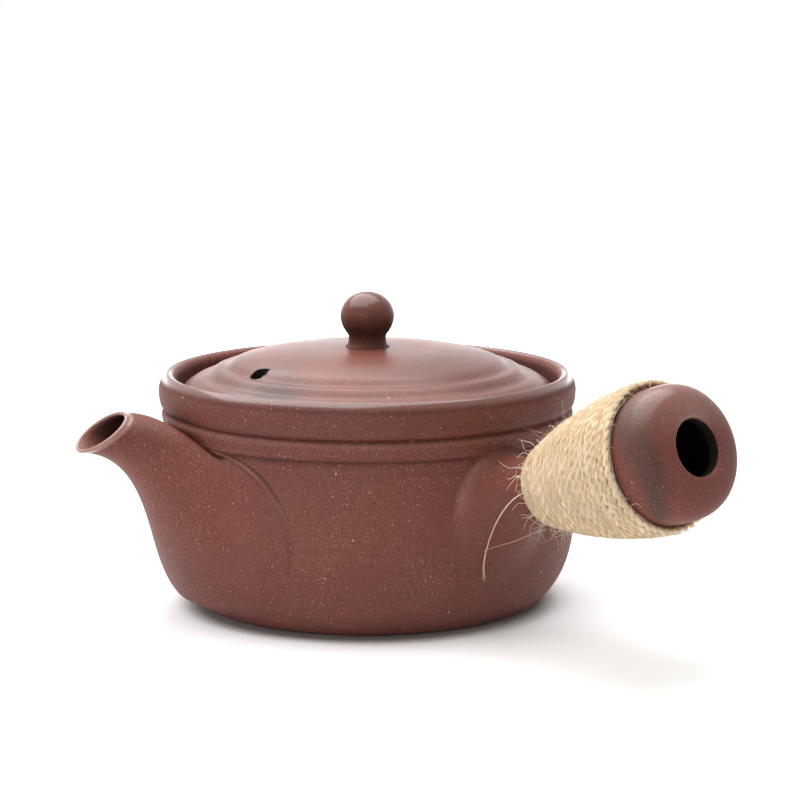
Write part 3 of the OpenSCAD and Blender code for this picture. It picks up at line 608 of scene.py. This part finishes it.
# hand-wound: the turns wander a little from their even places
wander = np.convolve(rng.normal(0, 1, len(turns_at) + 40), np.hanning(41) / 41, "valid") * 0.5 * MM
here = here + side * wander[:, None]
ply_sides = np.linspace(0, 2 * math.pi, PLY_SIDES, endpoint=False)
ply_rings, ply_hollows = [], []
for ply in (0, math.pi):
    twist = 2 * math.pi * twine_steps / TWINE_LAY + ply
    core = here + PLY_OFF * (np.cos(twist)[:, None] * out + np.sin(twist)[:, None] * side)
    thick = PLY_R * (1 + 0.12 * np.convolve(rng.normal(0, 1, len(twist) + 8), np.hanning(9) / 2, "valid"))
    thick = np.clip(thick, 0.8 * PLY_R, 1.2 * PLY_R)
    ply_rings.append(core[:, None] + thick[:, None, None] * (np.cos(ply_sides)[:, None] * out[:, None]
                                                            + np.sin(ply_sides)[:, None] * side[:, None]))
    # how low each point lies on its ply, for the painted shade in the hollows
    height = PLY_OFF * np.cos(twist)[:, None] + thick[:, None] * np.cos(ply_sides)
    ply_hollows.append(np.clip((0.3 * MM - height) / (0.4 * MM), 0, 1))


def jute(name, light, mid, dark):
    """Jute yarn: dull straw-coloured bast fibres, each a fine ribbon along the yarn, some paler and glossy,
    some brown, so that the yarn looks streaked along its run and soft at its edges."""
    material = bpy.data.materials.new(name)
    material.use_nodes = True
    tree = material.node_tree
    shader = tree.nodes["Principled BSDF"]
    run_map = add(tree, "ShaderNodeUVMap", uv_map="along_yarn").outputs["UV"]
    # fibres of 0.05 mm are too fine for the picture, so the streaks are 0.22 mm wide and 5 mm long
    stretch = add(tree, "ShaderNodeMapping", {"Vector": run_map, "Scale": (1 / (5 * MM), 1 / (0.22 * MM), 1)})
    streak = add(tree, "ShaderNodeTexNoise", {
        "Vector": stretch.outputs["Vector"], "Scale": 1.0, "Detail": 3.0, "Roughness": 0.65})
    ramp = add(tree, "ShaderNodeValToRGB", {"Fac": streak.outputs["Fac"]})
    ramp.color_ramp.elements[0].position, ramp.color_ramp.elements[0].color = 0.3, linear(dark)
    ramp.color_ramp.elements[1].position, ramp.color_ramp.elements[1].color = 0.7, linear(light)
    ramp.color_ramp.elements.new(0.47).color = linear(mid)
    # painted shade lies in the hollows between the plies and the turns
    hollow = add(tree, "ShaderNodeAttribute", attribute_name="hollow").outputs["Fac"]
    painted_hollow_shade = add(tree, "ShaderNodeMath", {0: hollow, 1: 0.9}, operation="MULTIPLY")
    colour = add(tree, "ShaderNodeMix", {
        0: painted_hollow_shade.outputs[0], 6: ramp.outputs["Color"], 7: linear("#8c5f33")}, data_type="RGBA")
    bump = add(tree, "ShaderNodeBump", {
        "Strength": 1.0, "Distance": 0.2 * MM, "Height": streak.outputs["Fac"]})
    tree.links.new(colour.outputs[2], shader.inputs["Base Color"])
    tree.links.new(bump.outputs["Normal"], shader.inputs["Normal"])
    shader.inputs["Roughness"].default_value = 0.8
    shader.inputs["IOR"].default_value = 1.5
    shader.inputs["Sheen Weight"].default_value = 0.25
    return material


def with_run_map(piece, rows, columns, lengths, round_way):
    """Lays a map on a piece of yarn, in metres: one coordinate runs along the yarn, the other round it."""
    layer = piece.data.uv_layers.new(name="along_yarn")
    row, column = np.meshgrid(np.arange(rows - 1), np.arange(columns), indexing="ij")
    u = np.stack([lengths[row], lengths[row], lengths[row + 1], lengths[row + 1]], -1)
    v = np.stack([column, column + 1, column + 1, column], -1) * round_way / columns
    flat = np.zeros(2 * len(piece.data.loops))
    flat[:2 * u.size] = np.stack([u, v], -1).ravel()
    layer.data.foreach_set("uv", flat)


jute_yarn = jute("jute yarn, two-ply", "#fff5db", "#ffe8be", "#e8b576")
twine_plies = []
for number, rings in enumerate(ply_rings):
    ply = skinned(f"twine_ply_{number + 1}", rings, jute_yarn, sharp=80)
    with_run_map(ply, len(rings), PLY_SIDES, twine_steps + number * 3, 2 * math.pi * PLY_R)
    marked(ply, "hollow", ply_hollows[number])
    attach(ply, "pot")
    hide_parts("twine_wrap")
    twine_plies.append(ply)

# Loose fibres: the ends of the jute that work free of the yarn. Most lie along the turns, some stand
# off the grip's edges, and a few long ones hang out where the winding starts.
FIBRE_R, FIBRE_POINTS = 0.05 * MM, 13
LAID, NEAR_POT, OVER_END, ALL_OVER, BUNDLE = 3200, 150, 60, 130, 6


def fibres(name, lines, radius, shades, material):
    """One mesh of many fibres, three-sided and drawn out to a point, along lines of points of equal count."""
    lines = np.asarray(lines)
    many, points = lines.shape[:2]
    ahead = unit(np.gradient(lines, axis=1))
    first = unit(np.cross(ahead, unit(np.array([0.31, 0.52, 0.79]))))
    second = np.cross(ahead, first)
    fine_end = np.sqrt(np.clip(1 - np.abs(np.linspace(-0.6, 1, points)) ** 3, 0.04, 1))
    thick = (np.asarray(radius) * np.ones(many))[:, None] * fine_end
    three = np.linspace(0, 2 * math.pi, 3, endpoint=False)
    rings = lines[:, :, None] + thick[..., None, None] * (np.cos(three)[:, None] * first[:, :, None]
                                                         + np.sin(three)[:, None] * second[:, :, None])
    fibre, row, column = np.meshgrid(np.arange(many), np.arange(points - 1), np.arange(3), indexing="ij")
    corner = fibre * points * 3 + row * 3
    beside = (column + 1) % 3
    faces = np.stack([corner + column, corner + beside, corner + 3 + beside, corner + 3 + column], -1)
    mesh = bpy.data.meshes.new(name)
    mesh.from_pydata(rings.reshape(-1, 3).tolist(), [], faces.reshape(-1, 4).tolist())
    mesh.shade_smooth()
    mesh.materials.append(material)
    piece = bpy.data.objects.new(name, mesh)
    bpy.context.scene.collection.objects.link(piece)
    marked(piece, "shade", np.repeat(shades, points * 3))
    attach(piece, "pot")
    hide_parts("twine_wrap")


def bast(name, light, dark):
    """Single bast fibres: pale, dry and a little glossy, each in its own shade of straw."""
    material = bpy.data.materials.new(name)
    material.use_nodes = True
    tree = material.node_tree
    shader = tree.nodes["Principled BSDF"]
    shade = add(tree, "ShaderNodeAttribute", attribute_name="shade").outputs["Fac"]
    place = add(tree, "ShaderNodeTexCoord").outputs["Object"]
    worn = add(tree, "ShaderNodeTexNoise", {"Vector": place, "Scale": 1 / (3 * MM), "Detail": 1.0})
    share = add(tree, "ShaderNodeMath", {
        0: worn.outputs["Fac"], 1: 0.6, 2: shade}, operation="MULTIPLY_ADD", use_clamp=True)
    colour = add(tree, "ShaderNodeMix", {
        0: share.outputs[0], 6: linear(dark), 7: linear(light)}, data_type="RGBA")
    tree.links.new(colour.outputs[2], shader.inputs["Base Color"])
    shader.inputs["Roughness"].default_value = 0.6
    shader.inputs["Sheen Weight"].default_value = 0.2
    return material


jute_fibre = bast("jute fibre, loose", "#fff5de", "#f0c184")
steps_along = np.linspace(-0.5, 0.5, 7)
# laid fibres, 5 to 15 mm long, that slant a little round the yarn; the end turns are covered on their open
# side too, and about one fibre in six is brown
start = rng.uniform(0.1, TWINE_TURNS - 0.05, LAID)
reach = rng.uniform(5, 15, LAID) * MM
turn_length = np.interp(start, fine, np.gradient(length, fine))
n = np.clip(start[:, None] + steps_along * (reach / turn_length)[:, None], 0, TWINE_TURNS)
here, run, out, side = winding(n)
to_end = side * np.sign((side * axis).sum(-1, keepdims=True))
lean = rng.uniform(-1, 1, LAID)
lean = np.where(start > TWINE_TURNS - 1, rng.uniform(-0.6, 2.2, LAID),
                np.where(start < 1, rng.uniform(-2, 0.6, LAID), lean))
lean = lean[:, None] + rng.normal(0.4, 0.6, LAID)[:, None] * steps_along * 2
stand = TWINE_D * rng.uniform(0.46, 0.53, LAID)[:, None]
stand = stand + 0.25 * MM * rng.random((LAID, 1)) * (2 * steps_along) ** 2
laid = here + stand[..., None] * (np.cos(lean)[..., None] * out + np.sin(lean)[..., None] * to_end)
laid_r = FIBRE_R * rng.uniform(0.6, 1.2, LAID)
laid_shade = np.where(rng.random(LAID) < 0.16, -0.6, rng.uniform(0, 0.9, LAID))
fibres("jute_laid_fibres", laid, laid_r, laid_shade, jute_fibre)


def standing(at_turn, lengths, out_share, back_share, curl):
    """Lines of fibres that stand off the winding: out from it, back towards the pot, and curled."""
    base, run, out, side = winding(at_turn)
    spin = rng.normal(0, 0.7, (len(at_turn), 1))
    way = unit(out * out_share + run * spin - axis * back_share + rng.normal(0, 0.25, base.shape))
    bend = unit(np.cross(way, rng.normal(0, 1, base.shape)))
    other = np.cross(way, bend)
    t = np.linspace(0, 1, FIBRE_POINTS)[:, None, None]
    hook, ripple = rng.uniform(0.2, 1, (len(at_turn), 1)) * curl, rng.uniform(4, 11, (len(at_turn), 1))
    line = base + out * 0.8 * MM + lengths[:, None] * (
        t * way * (1 - 0.35 * hook * t) + hook * bend * t**2 + 0.16 * t * other * np.sin(ripple * t))
    return line.transpose(1, 0, 2)


near_pot = standing(5 * rng.beta(0.6, 2.2, NEAR_POT),
                    rng.uniform(1.2, 6, NEAR_POT) * MM, out_share=0.7, back_share=0.35, curl=1.8)
over_end = standing(rng.uniform(TWINE_TURNS - 0.9, TWINE_TURNS, OVER_END),
                    rng.uniform(1.5, 5.5, OVER_END) * MM, out_share=0.25, back_share=-0.8, curl=1.3)
all_over = standing(rng.uniform(0.5, TWINE_TURNS, ALL_OVER),
                    rng.uniform(2, 7, ALL_OVER) * MM, out_share=0.6, back_share=0.1, curl=1.4)
stray = np.concatenate([near_pot, over_end, all_over])
stray_r = FIBRE_R * np.r_[rng.uniform(0.7, 1.5, NEAR_POT), rng.uniform(0.7, 1.4, OVER_END),
                          rng.uniform(0.5, 0.9, ALL_OVER)]
fibres("jute_stray_fibres", stray, stray_r, rng.uniform(0.1, 0.8, len(stray)), jute_fibre)

# the two long ones: a bundle that hangs in a bow and frays at its tip, and a single straight fibre
BOW = np.array([[6.5, -84.3, 47.5], [7, -80.6, 45.7], [7, -76.4, 43.4], [6.1, -73.7, 41.1],
                [5.2, -71.5, 37.2], [4.3, -67.7, 31.4], [4.7, -64.8, 26.8], [5.3, -63, 22.4],
                [5.2, -62.2, 18.9], [5.9, -61.7, 17.3]]) * MM
STRAIGHT = np.array([[13.5, -82.9, 35.5], [11.4, -74.9, 32.0], [8.4, -68.4, 28.9], [3.6, -64.7, 26.5]]) * MM
LONG_POINTS = 28


def smooth_line(points, count):
    """Points along a smooth curve past the given ones."""
    at = np.linspace(0, 1, len(points))
    even = np.linspace(0, 1, count)
    fit = [np.polyval(np.polyfit(at, column, min(5, len(points) - 1)), even) for column in points.T]
    return np.stack(fit, 1)


bow = smooth_line(BOW, LONG_POINTS)
part_way = np.linspace(0, 1, LONG_POINTS)[:, None]
long_ones = [bow + part_way**2 * rng.normal(0, 0.3, 3) * MM + rng.normal(0, 0.07, 3) * MM
             for _ in range(BUNDLE)]
long_ones.append(smooth_line(STRAIGHT, LONG_POINTS) + np.sin(3 * math.pi * part_way) * 0.15 * MM)
long_r = FIBRE_R * np.r_[np.full(BUNDLE, 1.15), 1.4]
fibres("jute_long_fibres", long_ones, long_r, np.full(BUNDLE + 1, 0.35), jute_fibre)

# Lid: thrown as a disc with a domed top and two soft turned rings, with a vent pierced through it on
# the spout's side. A ring luted below keeps it in the throat. It lies loose on the ledge.
LID_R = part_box("lid_dome")[1].x
LID_Z, DOME_TOP_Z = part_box("lid_dome")[0].z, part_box("lid_dome")[1].z
LID_EDGE_Z, LID_FULL, LID_T, EDGE_ROUND = LID_Z + 2.6 * MM, 3.4, 3.4 * MM, 1 * MM
RING_RADII, RING_DEPTH, RING_WIDTH = (42 * MM, 47.6 * MM), 0.9 * MM, 1.8 * MM
VENT_R, VENT_AT, VENT_TURN = 2.6 * MM, 39.8 * MM, math.radians(192.3)
r = np.linspace(2 * MM, LID_R - EDGE_ROUND, 90)
dome = LID_EDGE_Z + (DOME_TOP_Z - LID_EDGE_Z) * (1 - (r / LID_R) ** LID_FULL)
dips = sum(RING_DEPTH * fading(r - at, RING_WIDTH) for at in RING_RADII)
lid_profile = np.concatenate([
    np.stack([r, dome - dips], 1),
    [[LID_R, LID_EDGE_Z - EDGE_ROUND], [LID_R, LID_Z]],
    np.stack([r, np.maximum(LID_Z, dome - LID_T)], 1)[::-1],
])
lid_clay = stoneware("bare stoneware, turned lid", clay="#774941", warm="#834a3c", smoke="#5e463f",
                     smoke_share=0.6, sand=0.3, dry=0.4, satin=0.3, level=0.34, grit=0.015,
                     streaks="round the face", ring_depth=0.02)
lid = skinned("lid_dome_clay", turned(softened(lid_profile, 0.6 * MM, 0.35 * MM), 224), lid_clay)
vent = np.array([VENT_AT * math.cos(VENT_TURN), VENT_AT * math.sin(VENT_TURN)])
drilled(lid, (*vent, LID_Z - 5 * MM), (*vent, DOME_TOP_Z + 5 * MM), VENT_R)
# the vent's walls are painted black as painted shade, and dark drifts lie over the lid, partly smoke and
# partly painted shade: beside the vent the shade of the ring grooves, and along two of its sides a darker
# clay under the sheen. Each drift by its place and width in millimetres and its share
corners = np.array([v.co for v in lid.data.vertices])
across = corners[:, :2]
drifts = ((-41, -24, 9, 1.2), (14, -22, 8, 0.4), (-40, 14, 17, 0.6), (36, -12, 19, 0.6))
marked(lid, "smoked", sum(share * fading(np.hypot(*(across - np.array([x, y]) * MM).T), wide * MM)
                          for x, y, wide, share in drifts))
marked(lid, "dark_and_painted_shade", 1.0 * (np.hypot(*(across - vent).T) < VENT_R + 0.05 * MM))
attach(lid, "lid")
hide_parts("lid_dome")
flange = frame["nodes"]["lid_flange"]
flange.data.materials.clear()
flange.data.materials.append(lid_clay)

# Knob: a ball of clay on a short neck, pinched and turned, then luted on the middle of the lid. Fingers
# lift the lid by it.
KNOB_R, KNOB_TOP_H, KNOB_LOW_H = 8.0 * MM, 7.0 * MM, 8.1 * MM
BALL_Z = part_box("lid_knob")[1].z - KNOB_TOP_H
KNOB_FOOT_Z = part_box("lid_knob")[0].z
NECK_KNOB_R, FOOT_KNOB_R, NECK_FLARE_H = 5.5 * MM, 6.2 * MM, 2.2 * MM
under = np.linspace(math.acos(NECK_KNOB_R / KNOB_R), 0, 24)
over = np.linspace(0, math.pi / 2 - 0.12, 30)[1:]
knob_profile = np.concatenate([
    [[1 * MM, KNOB_FOOT_Z], [FOOT_KNOB_R + 0.8 * MM, KNOB_FOOT_Z]],
    np.stack([FOOT_KNOB_R - (FOOT_KNOB_R - NECK_KNOB_R) * np.sin(turn),
              KNOB_FOOT_Z + NECK_FLARE_H * (1 - np.cos(turn))], 1),
    np.stack([KNOB_R * np.cos(under), BALL_Z - KNOB_LOW_H * np.sin(under)], 1),
    np.stack([KNOB_R * np.cos(over), BALL_Z + KNOB_TOP_H * np.sin(over)], 1),
])
knob_clay = stoneware("bare stoneware, pinched knob", clay="#683a31", warm="#6d3c30", smoke="#583e36",
                      smoke_share=0.3, sand=0, dry=0.6, satin=0.5, level=0.2, grit=0.015, ring_depth=0.03)
knob = skinned("lid_knob_clay", turned(softened(knob_profile, 0.35 * MM, 0.6 * MM), 128), knob_clay)
# fingers polish its top, and painted shade darkens it below the ball
corners = np.array([v.co for v in knob.data.vertices])
marked(knob, "burnished", 0.5 * np.clip((corners[:, 2] - BALL_Z) / (4 * MM), 0, 1))
marked(knob, "dark_and_painted_shade", 0.65 * fading(BALL_Z - 4.4 * MM - corners[:, 2], 3.4 * MM))
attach(knob, "lid")
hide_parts("lid_knob")

# Table: a plain sweep of white paper under the pot, in soft studio light from above, the front and the
# back. It isn't part of the kettle.
VIEW_TURN = math.radians(26.5)
FOOT_SHADE, NEAR_GLOW, PAPER_FADE = (51.5 * MM, 58 * MM), 0.28, (150 * MM, 500 * MM)
FLOOR_HALF, LAMP_AIM_Z = 4, 0.04
seen = Matrix.Rotation(-VIEW_TURN, 4, "Z")


def seen_directly(tree):
    """1 for a ray from the eye, straight or by a shiny or clear surface, and 0 for light on the object."""
    ray = add(tree, "ShaderNodeLightPath").outputs
    direct = add(tree, "ShaderNodeMath", {
        0: ray["Is Camera Ray"], 1: ray["Is Glossy Ray"]}, operation="MAXIMUM")
    direct = add(tree, "ShaderNodeMath", {
        0: direct.outputs[0], 1: ray["Is Transmission Ray"]}, operation="MAXIMUM")
    return direct.outputs[0]


# the paper is white in the picture away from the foot, and keeps the pot's shadow near it
sweep_material = bpy.data.materials.new("matt white paper sweep")
sweep_material.use_nodes = True
tree = sweep_material.node_tree
paper = tree.nodes["Principled BSDF"]
paper.inputs["Base Color"].default_value = linear("#f2f2f2")
paper.inputs["Roughness"].default_value = 0.9
paper.inputs["Specular IOR Level"].default_value = 0.1
place = add(tree, "ShaderNodeTexCoord").outputs["Object"]
away = add(tree, "ShaderNodeVectorMath", {0: place}, operation="LENGTH").outputs["Value"]
near = add(tree, "ShaderNodeMapRange", {
    "Value": away, "From Min": FOOT_SHADE[0], "From Max": FOOT_SHADE[1], "To Max": NEAR_GLOW})
far_off = add(tree, "ShaderNodeMapRange", {
    "Value": away, "From Min": PAPER_FADE[0], "From Max": PAPER_FADE[1]})
share = add(tree, "ShaderNodeMath", {0: near.outputs[0], 1: far_off.outputs[0]}, operation="MAXIMUM")
lifted = add(tree, "ShaderNodeMath", {0: seen_directly(tree), 1: share.outputs[0]}, operation="MULTIPLY")
glow = add(tree, "ShaderNodeEmission", {"Color": (1, 1, 1, 1), "Strength": lifted.outputs[0]})
both = add(tree, "ShaderNodeAddShader", {0: paper.outputs[0], 1: glow.outputs[0]})
tree.links.new(both.outputs[0], tree.nodes["Material Output"].inputs["Surface"])
floor_mesh = bpy.data.meshes.new("floor")
floor_corners = [(x * FLOOR_HALF, y * FLOOR_HALF, 0) for x, y in ((-1, -1), (1, -1), (1, 1), (-1, 1))]
floor_mesh.from_pydata(floor_corners, [], [(0, 1, 2, 3)])
floor_mesh.materials.append(sweep_material)
floor = bpy.data.objects.new("floor", floor_mesh)
bpy.context.scene.collection.objects.link(floor)

world = bpy.data.worlds.new("white studio")
bpy.context.scene.world = world
world.use_nodes = True
tree = world.node_tree
level = add(tree, "ShaderNodeMapRange", {"Value": seen_directly(tree), "To Min": 0.12, "To Max": 1.0})
tree.nodes["Background"].inputs["Color"].default_value = (1, 1, 1, 1)
tree.links.new(level.outputs[0], tree.nodes["Background"].inputs["Strength"])

for name, place, wide, high, power in (
    ("top box", (-0.25, 0.2, 1.1), 1.6, 1.6, 29.0),
    ("front box", (-0.55, -1.35, 0.28), 0.9, 0.5, 4.0),
    ("back box", (0, 1.5, 0.17), 2.6, 0.3, 4.3),
):
    lamp = bpy.data.lights.new(name, "AREA")
    lamp.shape, lamp.size, lamp.size_y, lamp.energy = "RECTANGLE", wide, high, power
    box = bpy.data.objects.new(name, lamp)
    box.location = seen @ Vector(place)
    box.rotation_mode = "QUATERNION"
    box.rotation_quaternion = (Vector((0, 0, LAMP_AIM_Z)) - box.location).to_track_quat("-Z", "Y")
    bpy.context.scene.collection.objects.link(box)

# Camera: a long lens from a little above the rim, turned so that the spout is on the left.
PAN, PITCH = math.radians(0.7041), math.radians(9.5972)
CAMERA_AWAY, CAMERA_Z, LENS, SENSOR = 790.37 * MM, 193.79 * MM, 120.98, 36
camera = bpy.data.objects.new("camera", bpy.data.cameras.new("camera"))
camera.data.lens, camera.data.sensor_width = LENS, SENSOR
camera.data.clip_start, camera.data.clip_end = 0.05, 20
camera.location = seen @ Vector((0, -CAMERA_AWAY, CAMERA_Z))
ahead = Vector((math.sin(PAN) * math.cos(PITCH), math.cos(PAN) * math.cos(PITCH), -math.sin(PITCH)))
camera.rotation_mode = "QUATERNION"
camera.rotation_quaternion = (seen.to_3x3() @ ahead).to_track_quat("-Z", "Y")
bpy.context.scene.collection.objects.link(camera)
bpy.context.scene.camera = camera
bpy.context.scene.view_settings.view_transform = "Standard"
